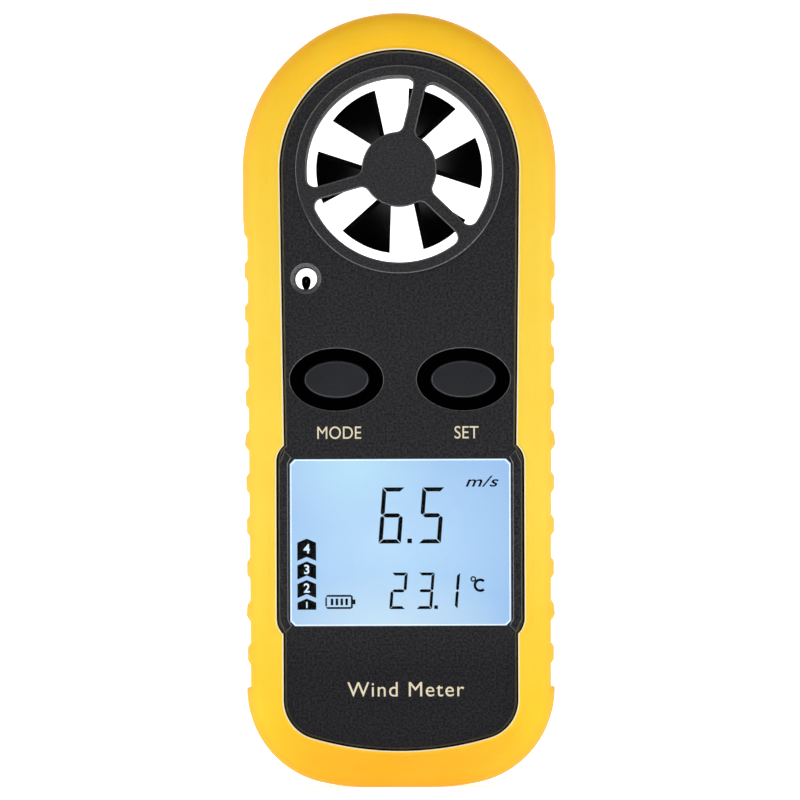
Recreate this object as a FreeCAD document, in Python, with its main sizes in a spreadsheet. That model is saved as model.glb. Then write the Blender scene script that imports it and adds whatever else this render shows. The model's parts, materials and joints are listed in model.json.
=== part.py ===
"""Pocket vane anemometer: a handheld weather meter in a soft boot. Millimetres.

Frame: +Z up along the length, vane at the top, display facing -Y, +X to the display's right.
The origin is the middle of the foot, so depths are measured from the parting plane y = 0.
"""
import FreeCAD, Part
import math
import os
import re

import Sketcher
from FreeCAD import Placement, Rotation, Vector

DIMENSIONS = [
    # fits: pressed together, loose, and how far a cut runs past what it cuts
    ("fit", 0.03), ("slack", 0.1), ("overrun", 0.5),
    # overall outline
    ("head_radius", 21.25), ("vane_height", 83.75), ("body_depth", 18.0),
    ("corner_radius", 13.0), ("foot_arc_radius", 30.0), ("foot_half", 4.5),
    # soft boot
    ("boot_edge_radius", 3.2), ("boot_gap", 0.1),
    ("groove_depth", 0.54), ("groove_floor", 3.0), ("groove_slope", 0.4),
    ("groove_pitch", 5.77), ("groove_first_height", 73.0), ("groove_count", 11),
    # window in the boot, which the raised face fills
    ("window_radius", 16.25), ("window_waist", 15.75), ("window_wide", 16.8),
    ("window_low_side", 15.9), ("window_corner", 5.4), ("window_foot_radius", 42.0),
    ("window_bottom", 4.95), ("face_gap", 0.15),
    ("band_top", 46.4), ("band_top_full", 44.2), ("band_low_full", 23.0), ("band_low", 20.8),
    ("band_bend", 3.0),
    # hard case
    ("case_side", 18.9), ("case_bottom", 2.6), ("case_corner", 9.0), ("shoulder", 6.8),
    ("face_front", 8.4), ("face_back", 8.2), ("face_round", 0.6), ("case_wall", 1.5),
    ("shell_floor", 5.4),
    ("deep_floor", 6.9), ("rear_floor", 6.7), ("deep_side", 15.6),
    ("deep_low", 8.0), ("deep_high", 66.0),
    ("screw_upper_x", 13.6), ("screw_upper_z", 61.6), ("screw_lower_x", 13.2), ("screw_lower_z", 10.2),
    ("boss_radius", 2.1), ("screw_radius", 0.75), ("screw_head_radius", 1.7), ("screw_head", 1.1),
    ("screw_clearance", 0.95), ("screw_reach", 4.6), ("screw_sunk", 1.4), ("screw_head_gap", 0.15),
    ("screw_head_round", 0.25), ("cross_long", 0.6), ("cross_wide", 0.14), ("cross_floor", 0.4),
    # vane and its airway
    ("airway_radius", 12.6), ("duct_radius", 13.5), ("duct_hole_radius", 13.6),
    ("collar_radius", 14.15), ("collar_proud", 0.45), ("guard_thickness", 1.6), ("guard_round", 0.3),
    ("hub_radius", 5.1), ("arm_width", 1.75), ("arm_turn", 76.0), ("arm_count", 3),
    ("arm_fillet", 1.1), ("rear_hub_radius", 4.6), ("rear_arm_width", 1.35),
    ("boss_reach", 3.9), ("bearing_boss_radius", 2.3),
    ("blade_tip_radius", 11.3), ("blade_root_radius", 3.6), ("blade_loft_end", 12.4),
    ("blade_turn", 5.0), ("blade_count", 6), ("blade_half_depth", 3.0), ("blade_thickness", 0.7),
    ("blade_root_half", 0.14), ("blade_end_half", 3.9), ("rotor_radius", 4.2), ("rotor_half", 2.5),
    ("rotor_bevel", 0.4), ("shaft_radius", 0.5), ("shaft_half", 6.5), ("shaft_clearance", 0.04),
    ("shaft_tip_radius", 0.35), ("shaft_tip", 0.4),
    ("bearing_radius", 1.3), ("bearing_length", 2.0), ("magnet_radius", 2.0), ("magnet_length", 2.2),
    # thermistor passage
    ("probe_x", 12.7), ("probe_z", 69.0), ("probe_hole", 1.5), ("probe_tube", 2.4),
    ("probe_bevel", 0.6), ("bead_radius", 0.62), ("bead_height", 1.9), ("bead_foot", 0.2),
    ("bead_curve", 1.8), ("lead_radius", 0.15), ("lead_x", 0.2), ("lead_top", 0.3), ("lead_low", 2.6),
    ("lead_bend", 0.7),
    # keys and their switches
    ("key_x", 8.6), ("key_z", 55.3), ("key_hole_wide", 6.3), ("key_hole_tall", 4.2),
    ("key_hole_round", 0.25), ("key_wide", 4.45), ("key_tall", 2.58), ("key_top", 8.3),
    ("key_edge", 0.5), ("flange_wide", 6.75), ("flange_tall", 4.65), ("flange_front", 6.85),
    ("flange_back", 6.25),
    ("stem_radius", 1.2), ("switch_wide", 5.2), ("switch_tall", 5.2), ("switch_front", 4.3),
    ("plunger_front", 5.1), ("plunger_radius", 1.3), ("plunger_hole_radius", 1.45),
    ("switch_floor", 3.2), ("plunger_back", 3.9),
    # display
    ("display_z", 33.2), ("view_half_wide", 14.98), ("view_half_tall", 11.32), ("view_corner", 0.65),
    ("lens_front", 8.25), ("lens_gap", 0.06), ("lens_flange", 0.55), ("lens_flange_back", 6.3),
    ("rail_inner", 15.2), ("rail_outer", 16.5), ("rail_low", 22.8), ("rail_high", 43.9),
    ("rail_inner_lean", 0.5), ("rail_inner_rise", 0.9), ("rail_outer_lean", 0.85),
    ("rail_outer_rise", 1.9), ("rail_proud", 0.35), ("rail_round", 0.3),
    ("glass_half_wide", 15.5), ("glass_half_tall", 12.8), ("glass_front", 6.1), ("glass_back", 4.1),
    ("frame_wall", 0.9), ("frame_front", 5.3), ("light_half_wide", 13.9), ("light_half_tall", 10.6),
    ("light_front", 4.0), ("light_back", 2.8), ("strip_gap", 0.3), ("strip_tall", 1.3),
    ("lamp_wide", 0.8), ("lamp_tall", 3.0),
    # circuit board
    ("board_front", 2.6), ("board_back", 1.6), ("board_side", 15.8), ("board_low", 6.2),
    ("board_high", 65.6), ("board_corner", 5.0), ("tongue_half", 4.0), ("tongue_high", 69.0),
    ("post_radius", 1.7), ("post_x", 7.6), ("post_low_z", 12.6), ("post_high_z", 61.6),
    ("board_screw_radius", 0.6), ("board_screw_head_radius", 1.4), ("board_screw_head", 0.7),
    ("board_screw_reach", 3.0),
    ("sensor_half", 1.5), ("sensor_thick", 0.9), ("sensor_low", 66.4), ("sensor_high", 68.6),
    ("chip_radius", 4.2), ("chip_proud", 1.1), ("chip_curve", 8.6), ("chip_z", 55.0),
    ("crystal_radius", 0.9), ("crystal_long", 5.0), ("crystal_x", 9.5), ("crystal_low", 53.0),
    ("capacitor_x", 6.0), ("capacitor_pitch", 2.2), ("capacitor_wide", 1.2), ("capacitor_thick", 0.7),
    ("capacitor_low", 50.0), ("capacitor_high", 52.0),
    # battery compartment
    ("cell_z", 33.0), ("cell_radius", 10.0), ("cell_front", 2.6), ("cell_back", 5.8),
    ("well_radius", 10.35), ("well_floor", 2.0), ("well_outer", 11.8), ("well_back", 0.8),
    ("seat", 6.05), ("cap_hole_radius", 12.6), ("cap_radius", 12.45), ("seat_outer", 15.0),
    ("seat_front", 4.7), ("lug_radius", 13.4), ("lug_track_radius", 13.6), ("lug_top", 6.85),
    ("lug_track_top", 6.95), ("lug_span", 24.0), ("lug_entry_span", 30.0), ("lug_count", 3),
    ("cap_turn", 60.0), ("coin_slot_long", 15.0), ("coin_slot_wide", 1.9), ("coin_slot_deep", 1.1),
    ("cell_round", 0.35), ("button_radius", 8.8), ("button_proud", 0.25), ("lug_gap", 0.08),
    ("cap_bevel", 0.3), ("pin_radius", 0.35), ("side_pin_x", 9.3), ("contact_thickness", 0.25),
    ("contact_gap", 0.05), ("contact_half", 1.0), ("contact_high", 5.5), ("plate_half_wide", 3.0),
    ("plate_half_tall", 2.5), ("dimple_radius", 1.2),
    ("seal_ring", 11.35), ("seal_radius", 0.36), ("seal_groove_half", 0.5), ("seal_groove_deep", 0.8),
    # label recess on the back
    ("label_half_wide", 11.0), ("label_half_tall", 5.0), ("label_z", 57.5), ("label_deep", 0.25),
]

doc = FreeCAD.newDocument("WeatherMeter")
sheet = doc.addObject("Spreadsheet::Sheet", "Dims")
for row, (alias, number) in enumerate(DIMENSIONS, 1):
    sheet.set(f"A{row}", alias)
    sheet.set(f"B{row}", str(number))
    sheet.setAlias(f"B{row}", alias)
doc.recompute()

nodes = []


# ---------------------------------------------------------------- names of the sheet in expressions

def tied(expression):
    """The expression with each dimension's name pointing at the sheet."""
    return re.sub(r"\b[a-z][a-z_]+\b(?!\()", lambda found: "Dims." + found.group(), str(expression))


def number(expression):
    """What an expression comes to now."""
    found = sheet.evalExpression(tied(expression))
    return float(getattr(found, "Value", found))


def bind(thing, **sizes):
    """Tie properties to expressions; a double underscore stands for a dot in the property's path."""
    for path, expression in sizes.items():
        thing.setExpression(path.replace("__", "."), tied(expression))


# ---------------------------------------------------------------- PartDesign helpers

def new_body(label):
    body = doc.addObject("PartDesign::Body", label)
    nodes.append(body)
    return body


def start_sketch(body, name, role, level):
    """A sketch parallel to one of the body's origin planes; level is its place along the normal."""
    plane = next(item for item in body.Origin.OriginFeatures if item.Role == role)
    sketch = body.newObject("Sketcher::SketchObject", name)
    sketch.AttachmentSupport = (plane, [""])
    sketch.MapMode = "FlatFace"
    bind(sketch, AttachmentOffset__Base__z=level)
    return sketch


def fix(sketch, kind, *where):
    """Add a dimension to the sketch; the last item is its expression."""
    index = sketch.addConstraint(Sketcher.Constraint(kind, *where[:-1], number(where[-1])))
    bind(sketch, **{f"Constraints[{index}]": where[-1]})


def arc_between(start, end, radius):
    """The arc from start to end; a positive radius bulges to the right of the way."""
    along = end - start
    left = Vector(-along.y, along.x, 0) / along.Length
    reach = math.sqrt(radius ** 2 - along.Length ** 2 / 4)
    centre = (start + end) / 2 + left * math.copysign(reach, radius)
    first, last = (start, end) if radius > 0 else (end, start)
    angles = [math.atan2(point.y - centre.y, point.x - centre.x) for point in (first, last)]
    return Part.ArcOfCircle(Part.Circle(centre, Vector(0, 0, 1), abs(radius)), *angles)


def add_loop(sketch, corners):
    """A closed loop; a corner is (across, up) or (across, up, radius of the arc that arrives there)."""
    places = [Vector(number(corner[0]), number(corner[1]), 0) for corner in corners]
    ends = []
    for index, corner in enumerate(corners):
        start, end = places[index - 1], places[index]
        if len(corner) == 2:
            edge = sketch.addGeometry(Part.LineSegment(start, end), False)
            ends.append((edge, 1, 2))
            continue
        radius = number(corner[2])
        edge = sketch.addGeometry(arc_between(start, end, radius), False)
        ends.append((edge, 1, 2) if radius > 0 else (edge, 2, 1))
        fix(sketch, "Radius", edge, corner[2] if radius > 0 else f"-({corner[2]})")
    for index, (edge, first, last) in enumerate(ends):
        following, next_first = ends[(index + 1) % len(ends)][:2]
        sketch.addConstraint(Sketcher.Constraint("Coincident", edge, last, following, next_first))
        fix(sketch, "DistanceX", -1, 1, edge, last, corners[index][0])
        fix(sketch, "DistanceY", -1, 1, edge, last, corners[index][1])


def add_circle(sketch, across, up, radius):
    circle = Part.Circle(Vector(number(across), number(up), 0), Vector(0, 0, 1), number(radius))
    edge = sketch.addGeometry(circle, False)
    fix(sketch, "Radius", edge, radius)
    fix(sketch, "DistanceX", -1, 1, edge, 3, across)
    fix(sketch, "DistanceY", -1, 1, edge, 3, up)


def add_ellipse(sketch, across, up, wide, tall):
    """An ellipse with half-axes wide and tall, held by its own axis lines."""
    centre = Vector(number(across), number(up), 0)
    right = centre + Vector(number(wide), 0, 0)
    top = centre + Vector(0, number(tall), 0)
    edge = sketch.addGeometry(Part.Ellipse(right, top, centre), False)
    sketch.exposeInternalGeometry(edge)
    fix(sketch, "DistanceX", -1, 1, edge, 3, across)
    fix(sketch, "DistanceY", -1, 1, edge, 3, up)
    sketch.addConstraint(Sketcher.Constraint("Horizontal", edge + 1))
    fix(sketch, "Distance", edge + 1, f"2 * ({wide})")
    fix(sketch, "Distance", edge + 2, f"2 * ({tall})")


def loops_on(body, name, level, *loops):
    """A front-view sketch at y = level with several closed loops."""
    sketch = start_sketch(body, name, "XZ_Plane", f"-({level})")
    for loop in loops:
        add_loop(sketch, loop)
    return sketch


def circles_on(body, name, level, *circles):
    """A front-view sketch at y = level with circles, each (across, up, radius)."""
    sketch = start_sketch(body, name, "XZ_Plane", f"-({level})")
    for circle in circles:
        add_circle(sketch, *circle)
    return sketch


def ellipse_on(body, name, level, across, up, wide, tall):
    sketch = start_sketch(body, name, "XZ_Plane", f"-({level})")
    add_ellipse(sketch, across, up, wide, tall)
    return sketch


def changed_volume(body, before, name):
    """Stop if the last feature added or removed nothing."""
    doc.recompute()
    if abs(body.Shape.Volume - before) < 1e-4:
        raise RuntimeError(f"{name} changes nothing")


def volume_now(body):
    doc.recompute()
    return 0.0 if body.Shape.isNull() else body.Shape.Volume


def add(body, name, sketch, length, to_front=True):
    """Pad a front-view sketch towards the display, or else towards the back."""
    before = volume_now(body)
    feature = body.newObject("PartDesign::Pad", name)
    feature.Profile = sketch
    feature.Reversed = not to_front
    bind(feature, Length=length)
    changed_volume(body, before, name)
    return feature


def remove(body, name, sketch, length, to_front=True):
    """Pocket a front-view sketch towards the display, or else towards the back."""
    before = volume_now(body)
    feature = body.newObject("PartDesign::Pocket", name)
    feature.Profile = sketch
    feature.Reversed = to_front
    bind(feature, Length=length)
    changed_volume(body, before, name)
    return feature


def turned(body, name, corners, subtract=False):
    """A closed profile, (along y, out from the axis), turned about the body's own Y axis."""
    before = volume_now(body)
    sketch = start_sketch(body, name + "_profile", "YZ_Plane", "0")
    add_loop(sketch, corners)
    kind = "PartDesign::Groove" if subtract else "PartDesign::Revolution"
    feature = body.newObject(kind, name)
    feature.Profile = sketch
    feature.ReferenceAxis = (sketch, ["H_Axis"])
    feature.Angle = 360
    changed_volume(body, before, name)
    return feature


def ring(low, high, inner, outer):
    """The profile of a plain ring for turned()."""
    return [(low, inner), (high, inner), (high, outer), (low, outer)]


def around(body, name, original, count):
    """Repeat a feature around the body's own Y axis."""
    pattern = body.newObject("PartDesign::PolarPattern", name)
    pattern.Originals = [original]
    pattern.Axis = (next(item for item in body.Origin.OriginFeatures if item.Role == "Y_Axis"), [""])
    pattern.Angle = 360
    bind(pattern, Occurrences=count)
    body.Tip = pattern
    doc.recompute()
    return pattern


def soften(body, kind, name, size, chosen):
    """Fillet or chamfer the edges of the body's tip that the test picks."""
    doc.recompute()
    base = body.Tip
    picked = [f"Edge{index}" for index, edge in enumerate(base.Shape.Edges, 1) if chosen(edge)]
    feature = body.newObject("PartDesign::" + kind, name)
    feature.Base = (base, picked)
    bind(feature, **{"Radius" if kind == "Fillet" else "Size": size})
    doc.recompute()
    return feature


def flat_at(edge, level):
    """Whether an edge lies wholly in the plane y = level."""
    bounds = edge.BoundBox
    return abs(bounds.YMin - number(level)) < 1e-3 and abs(bounds.YMax - number(level)) < 1e-3


def on_vane_axis(body, turn="0"):
    """Put a piece that is drawn about its own Y axis on the vane's axis, turned up from +X."""
    body.Placement = Placement(Vector(), Rotation(Vector(0, 1, 0), -number(turn)))
    bind(body, Placement__Base__z="vane_height")


# ---------------------------------------------------------------- Part primitives

def place(thing, across, depth, up):
    bind(thing, Placement__Base__x=across, Placement__Base__y=depth, Placement__Base__z=up)


def block(label, across, depth, up):
    """A box between pairs of expressions along X, Y and Z."""
    box = doc.addObject("Part::Box", label)
    for side, (low, high) in zip(("Length", "Width", "Height"), (across, depth, up)):
        bind(box, **{side: f"({high}) - ({low})"})
    place(box, across[0], depth[0], up[0])
    return box


def rod(label, across, depth, up, radius):
    """A cylinder along +Y from depth[0] to depth[1]."""
    cylinder = doc.addObject("Part::Cylinder", label)
    cylinder.Placement = Placement(Vector(), Rotation(Vector(1, 0, 0), -90))
    bind(cylinder, Radius=radius, Height=f"({depth[1]}) - ({depth[0]})")
    place(cylinder, across, depth[0], up)
    return cylinder


def fused(label, *shapes):
    union = doc.addObject("Part::MultiFuse", label)
    union.Shapes = list(shapes)
    return union


def cut(label, base, tool):
    difference = doc.addObject("Part::Cut", label)
    difference.Base = base
    difference.Tool = tool
    return difference


def kept(thing):
    """Count a piece made of primitives among the sub-parts."""
    nodes.append(thing)
    return thing


# ---------------------------------------------------------------- outlines

def both_sides(right):
    """A loop symmetric about x = 0 from its right half, which ends on the centre line at the top."""
    loop = list(right)
    for index in range(len(right) - 2, -1, -1):
        across, up = right[index][:2]
        loop.append((f"-({across})", up) + right[index + 1][2:])
    return loop


def foot_tangents(bottom, foot_radius, corner_radius, side, start="0"):
    """Where a corner arc leaves the foot arc that begins at start, and where it meets the straight side."""
    shrink = f"({foot_radius} - {corner_radius})"
    across = f"({side} - {corner_radius} - {start})"
    drop = f"sqrt({shrink} * {shrink} - {across} * {across})"
    share = f"{foot_radius} / {shrink}"
    middle = f"{bottom} + {foot_radius}"
    return [(f"{start} + {across} * {share}", f"{middle} - {drop} * {share}"), (side, f"{middle} - {drop}")]


def boot_outline():
    """A flat foot, a shallow arc and a corner arc that run smoothly into the straight side."""
    corner_start, corner_end = foot_tangents("0", "foot_arc_radius", "corner_radius", "head_radius",
                                             "foot_half")
    return both_sides([
        ("foot_half", "0"),
        (*corner_start, "foot_arc_radius"),
        (*corner_end, "corner_radius"),
        ("head_radius", "vane_height"),
        ("0", "vane_height + head_radius", "head_radius"),
    ])


def case_outline(inset="0"):
    """The hard case seen from the front, moved inwards by inset."""
    return both_sides([
        ("0", f"case_bottom + ({inset})"),
        ("case_side - case_corner", f"case_bottom + ({inset})"),
        (f"case_side - ({inset})", "case_bottom + case_corner", f"case_corner - ({inset})"),
        (f"case_side - ({inset})", "vane_height"),
        ("0", f"vane_height + case_side - ({inset})", f"case_side - ({inset})"),
    ])[:-1]


def window_outline(gap="0", band=True):
    """The boot's window, or with a gap the raised face inside it; the band is wider at the display."""
    low_side = f"(window_low_side - {gap})"
    foot_radius, corner_radius = f"(window_foot_radius - {gap})", f"(window_corner - {gap})"
    corner_start, corner_end = foot_tangents(f"window_bottom + {gap}", foot_radius, corner_radius, low_side)
    shoulders = [
        (low_side, "band_low"),
        (f"window_wide - {gap}", "band_low_full", "band_bend"),
        (f"window_wide - {gap}", "band_top_full"),
        (f"window_waist - {gap}", "band_top", "band_bend"),
    ]
    return both_sides([
        ("0", f"window_bottom + {gap}"),
        (*corner_start, foot_radius),
        (*corner_end, corner_radius),
        *(shoulders if band else []),
        (f"window_radius - {gap}", "vane_height"),
        ("0", f"vane_height + window_radius - {gap}", f"window_radius - {gap}"),
    ])[1:]


def rectangle(half_wide, middle, half_tall):
    """A rectangle about x = 0 and a height."""
    low, high = f"{middle} - ({half_tall})", f"{middle} + ({half_tall})"
    return [(half_wide, low), (half_wide, high), (f"-({half_wide})", high), (f"-({half_wide})", low)]


def view_outline(inset="0"):
    """The display opening with its cut corners, moved inwards by inset."""
    wide, corner = f"(view_half_wide - ({inset}))", "view_corner"
    low, high = f"display_z - view_half_tall + ({inset})", f"display_z + view_half_tall - ({inset})"
    return [(f"{wide} - {corner}", low), (wide, f"{low} + {corner}"), (wide, f"{high} - {corner}"),
            (f"{wide} - {corner}", high), (f"{corner} - {wide}", high), (f"-{wide}", f"{high} - {corner}"),
            (f"-{wide}", f"{low} + {corner}"), (f"{corner} - {wide}", low)]


def rail_outline(side):
    """A rail beside the display, whose ends lean inwards along the window's band."""
    lines = []
    for word in ("outer", "inner"):
        across, lean, rise = f"rail_{word}", f"rail_{word}_lean", f"rail_{word}_rise"
        lines.append([(f"{across} - {lean}", f"rail_low - {rise}"), (across, "rail_low"),
                      (across, "rail_high"), (f"{across} - {lean}", f"rail_high + {rise}")])
    return [(f"{side}({across})", up) for across, up in lines[0] + lines[1][::-1]]


def deep_outline():
    """The part of the case that is deep enough for the keys and the display."""
    low, high = "deep_low", "deep_high"
    return [("deep_side", low), ("deep_side", high), ("-deep_side", high), ("-deep_side", low)]


def screw_places():
    """Where the four case screws stand, as expressions."""
    return [(f"{side}{across}", up) for across, up in
            (("screw_upper_x", "screw_upper_z"), ("screw_lower_x", "screw_lower_z"))
            for side in ("-", "")]


def post_places():
    """Where the circuit board is screwed to the front housing."""
    return [("-post_x", "post_low_z"), ("post_x", "post_low_z"), ("0", "post_high_z")]


# ---------------------------------------------------------------- boot and case

def make_boot():
    """A silicone sleeve with a lip around the front and the back, and grip notches along its sides."""
    body = new_body("boot")
    outline = loops_on(body, "boot_outline", "-body_depth / 2", boot_outline())
    add(body, "boot_block", outline, "body_depth", to_front=False)
    soften(body, "Fillet", "boot_edges", "boot_edge_radius",
           lambda edge: flat_at(edge, "body_depth / 2") or flat_at(edge, "-body_depth / 2"))
    for side, word in (("", "right"), ("-", "left")):
        floor, mouth = f"{side}(head_radius - groove_depth)", f"{side}(head_radius + groove_depth)"
        half, reach = "groove_floor / 2", "(groove_floor / 2 + 2 * groove_slope)"
        notch = loops_on(body, f"notch_{word}", "body_depth", [
            (floor, f"groove_first_height - {half}"), (floor, f"groove_first_height + {half}"),
            (mouth, f"groove_first_height + {reach}"), (mouth, f"groove_first_height - {reach}")])
        pocket = remove(body, f"notch_{word}_cut", notch, "2 * body_depth")
        pattern = body.newObject("PartDesign::LinearPattern", f"notches_{word}")
        pattern.Originals = [pocket]
        pattern.Direction = (notch, ["V_Axis"])
        pattern.Reversed = True
        bind(pattern, Length="groove_pitch * (groove_count - 1)", Occurrences="groove_count")
        body.Tip = pattern
        doc.recompute()
    inside = loops_on(body, "boot_inside", "-shoulder", case_outline("-boot_gap"))
    remove(body, "boot_hollow", inside, "2 * shoulder", to_front=False)
    front = loops_on(body, "boot_front_window", "-body_depth", window_outline())
    remove(body, "boot_front_opening", front, "body_depth", to_front=False)
    back = loops_on(body, "boot_back_window", "body_depth", window_outline(band=False))
    remove(body, "boot_back_opening", back, "body_depth")


def case_half(label, front):
    """One shell of the case: walls, raised face, hollow, screw bosses and the two through passages."""
    sign = "-" if front else ""
    face, floor = ("face_front", "deep_floor") if front else ("face_back", "rear_floor")
    body = new_body(label)
    add(body, label + "_shell", loops_on(body, label + "_outline", "0", case_outline()), "shoulder", front)
    raised = window_outline("face_gap", band=front)
    add(body, label + "_face", loops_on(body, label + "_raised", f"{sign}shoulder", raised),
        f"{face} - shoulder", front)
    soften(body, "Fillet", label + "_face_edge", "face_round", lambda edge: flat_at(edge, sign + face))
    hollow = loops_on(body, label + "_hollow", "0", case_outline("case_wall"))
    remove(body, label + "_cavity", hollow, "shell_floor", front)
    deep = loops_on(body, label + "_deep", "0", deep_outline())
    remove(body, label + "_deep_cavity", deep, floor, front)
    bosses = [(across, up, "boss_radius") for across, up in screw_places()]
    posts = circles_on(body, label + "_boss_circles", "0", *bosses, ("-probe_x", "probe_z", "probe_tube"))
    add(body, label + "_bosses", posts, floor, front)
    passages = circles_on(body, label + "_passage_circles", "0",
                          ("0", "vane_height", "duct_hole_radius"), ("-probe_x", "probe_z", "probe_hole"))
    remove(body, label + "_passages", passages, "body_depth", front)
    soften(body, "Chamfer", label + "_probe_rim", "probe_bevel", lambda edge: is_probe_rim(edge, sign + face))
    neck = start_sketch(body, label + "_neck", "XY_Plane", "probe_z - probe_tube - 2 * overrun")
    add_circle(neck, "-probe_x", "0", "bead_radius + slack")
    pocket = body.newObject("PartDesign::Pocket", label + "_neck_cut")
    pocket.Profile = neck
    pocket.Reversed = True
    bind(pocket, Length="probe_tube + overrun")
    doc.recompute()
    return body


def is_probe_rim(edge, level):
    """Whether an edge is the thermistor passage's rim on the face."""
    if not flat_at(edge, level):
        return False
    bounds = edge.BoundBox
    return abs(bounds.Center.x + number("probe_x")) < 0.1 and abs(bounds.Center.z - number("probe_z")) < 0.1


def make_front_housing():
    """The front shell, with key holes, display opening, rails beside it and board posts."""
    body = case_half("front_housing", True)
    posts = [(across, up, "post_radius") for across, up in post_places()]
    add(body, "board_posts", circles_on(body, "board_post_circles", "-board_front", *posts),
        "deep_floor - board_front")
    pilots = [(across, up, "board_screw_radius + fit") for across, up in post_places()]
    remove(body, "board_pilots", circles_on(body, "board_pilot_circles", "-board_front", *pilots),
           "board_screw_reach + 2 * slack")
    pilots = [(across, up, "screw_radius + fit") for across, up in screw_places()]
    remove(body, "case_pilots", circles_on(body, "case_pilot_circles", "0", *pilots),
           "screw_reach + 4 * slack")
    view = loops_on(body, "view_sketch", "0", view_outline())
    remove(body, "view_opening", view, "body_depth")
    for side, word in (("-", "mode"), ("", "set")):
        hole = ellipse_on(body, word + "_key_hole", "0", side + "key_x", "key_z",
                          "key_hole_wide", "key_hole_tall")
        remove(body, word + "_key_opening", hole, "body_depth")
    soften(body, "Fillet", "key_hole_rims", "key_hole_round", is_key_rim)
    rails = loops_on(body, "rail_outlines", "face_round - face_front", rail_outline(""), rail_outline("-"))
    add(body, "rails", rails, "face_round + rail_proud")
    soften(body, "Fillet", "rail_edges", "rail_round",
           lambda edge: flat_at(edge, "-face_front - rail_proud"))


def is_key_rim(edge):
    """Whether an edge is a key hole's rim on the face."""
    if not flat_at(edge, "-face_front"):
        return False
    middle = edge.BoundBox.Center
    return abs(abs(middle.x) - number("key_x")) < 0.1 and abs(middle.z - number("key_z")) < 0.1


def sector_on(body, name, level, radius, span, turn, up="0"):
    """A sector about an axis along Y, its middle turned up from +X."""
    sketch = start_sketch(body, name, "XZ_Plane", f"-({level})")
    sketch.AttachmentOffset = Placement(Vector(), Rotation(Vector(0, 0, 1), turn))
    bind(sketch, AttachmentOffset__Base__y=up, AttachmentOffset__Base__z=f"-({level})")
    reach, ahead = f"{radius} * sin({span} / 2)", f"{radius} * cos({span} / 2)"
    add_loop(sketch, [("0", f"-({reach})"), (ahead, f"-({reach})"), (ahead, reach, radius), ("0", reach)])
    return sketch


def lug_turns():
    """The angles of the cap's lugs, locked."""
    count = int(number("lug_count"))
    return [90 + index * 360 / count for index in range(count)]


def make_rear_housing():
    """The rear shell, with the battery well, its bayonet track, screw holes and a label recess."""
    body = case_half("rear_housing", False)
    add(body, "well_wall", circles_on(body, "well_circle", "well_back", ("0", "cell_z", "well_outer")),
        "rear_floor - well_back", to_front=False)
    add(body, "seat_wall", circles_on(body, "seat_circle", "seat_front", ("0", "cell_z", "seat_outer")),
        "rear_floor - seat_front", to_front=False)
    remove(body, "well", circles_on(body, "well_bore", "well_floor", ("0", "cell_z", "well_radius")),
           "body_depth", to_front=False)
    remove(body, "cap_seat", circles_on(body, "cap_bore", "seat", ("0", "cell_z", "cap_hole_radius")),
           "body_depth", to_front=False)
    remove(body, "lug_track", circles_on(body, "lug_circle", "seat", ("0", "cell_z", "lug_track_radius")),
           "lug_track_top - seat", to_front=False)
    holes = [(across, up, "screw_clearance") for across, up in screw_places()]
    remove(body, "screw_holes", circles_on(body, "screw_hole_circles", "0", *holes), "body_depth", False)
    heads = [(across, up, "screw_head_radius + screw_head_gap") for across, up in screw_places()]
    remove(body, "head_wells", circles_on(body, "head_circles", "face_back - screw_sunk", *heads),
           "body_depth", to_front=False)
    label = loops_on(body, "label_outline", "face_back - label_deep",
                     rectangle("label_half_wide", "label_z", "label_half_tall"))
    remove(body, "label_recess", label, "label_deep + overrun", to_front=False)
    for index, turn in enumerate(lug_turns(), 1):
        entry = sector_on(body, f"lug_entry_{index}", "body_depth", "lug_track_radius", "lug_entry_span",
                          turn - number("cap_turn"), "cell_z")
        remove(body, f"lug_entry_{index}_cut", entry, "body_depth - seat")
    pins = [(across, "cell_z", "pin_radius + slack") for across in ("0", "side_pin_x")]
    remove(body, "pin_holes", circles_on(body, "pin_hole_circles", "0", *pins), "seat", to_front=False)


# ---------------------------------------------------------------- vane

def make_guard(label, front):
    """A collar, three arms and a hub that carries a bearing."""
    body = new_body(label)
    sign, face = ("-", "face_front") if front else ("", "face_back")
    hub_size, arm_size = ("hub_radius", "arm_width") if front else ("rear_hub_radius", "rear_arm_width")
    outer = f"{sign}({face} + collar_proud)"
    seat = f"{sign}{face}"
    inner = f"{sign}({face} + collar_proud - guard_thickness)"
    collar = [(inner, "airway_radius"), (outer, "airway_radius"), (outer, "collar_radius"),
              (seat, "collar_radius"), (seat, "duct_radius"), (inner, "duct_radius")]
    turned(body, label + "_collar", collar)
    arm = loops_on(body, label + "_arm_outline", outer,
                   [("0", f"-{arm_size} / 2"), ("airway_radius + overrun", f"-{arm_size} / 2"),
                    ("airway_radius + overrun", f"{arm_size} / 2"), ("0", f"{arm_size} / 2")])
    arm_pad = add(body, label + "_arm", arm, "guard_thickness", to_front=not front)
    around(body, label + "_arms", arm_pad, "arm_count")
    hub = circles_on(body, label + "_hub_circle", outer, ("0", "0", hub_size))
    add(body, label + "_hub", hub, "guard_thickness", to_front=not front)
    soften(body, "Fillet", label + "_arm_roots", "arm_fillet",
           lambda edge: is_arm_root(edge, hub_size) or is_arm_root(edge, "airway_radius"))
    soften(body, "Fillet", label + "_edges", "guard_round", lambda edge: flat_at(edge, outer))
    boss = circles_on(body, label + "_boss_circle", outer, ("0", "0", "bearing_boss_radius"))
    add(body, label + "_boss", boss, f"{face} + collar_proud - boss_reach", to_front=not front)
    pit = circles_on(body, label + "_bearing_pit", f"{sign}boss_reach",
                     ("0", "0", "bearing_radius"))
    remove(body, label + "_bearing_bore", pit, "shaft_half + 3 * slack - boss_reach", to_front=front)
    on_vane_axis(body, "arm_turn")


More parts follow.
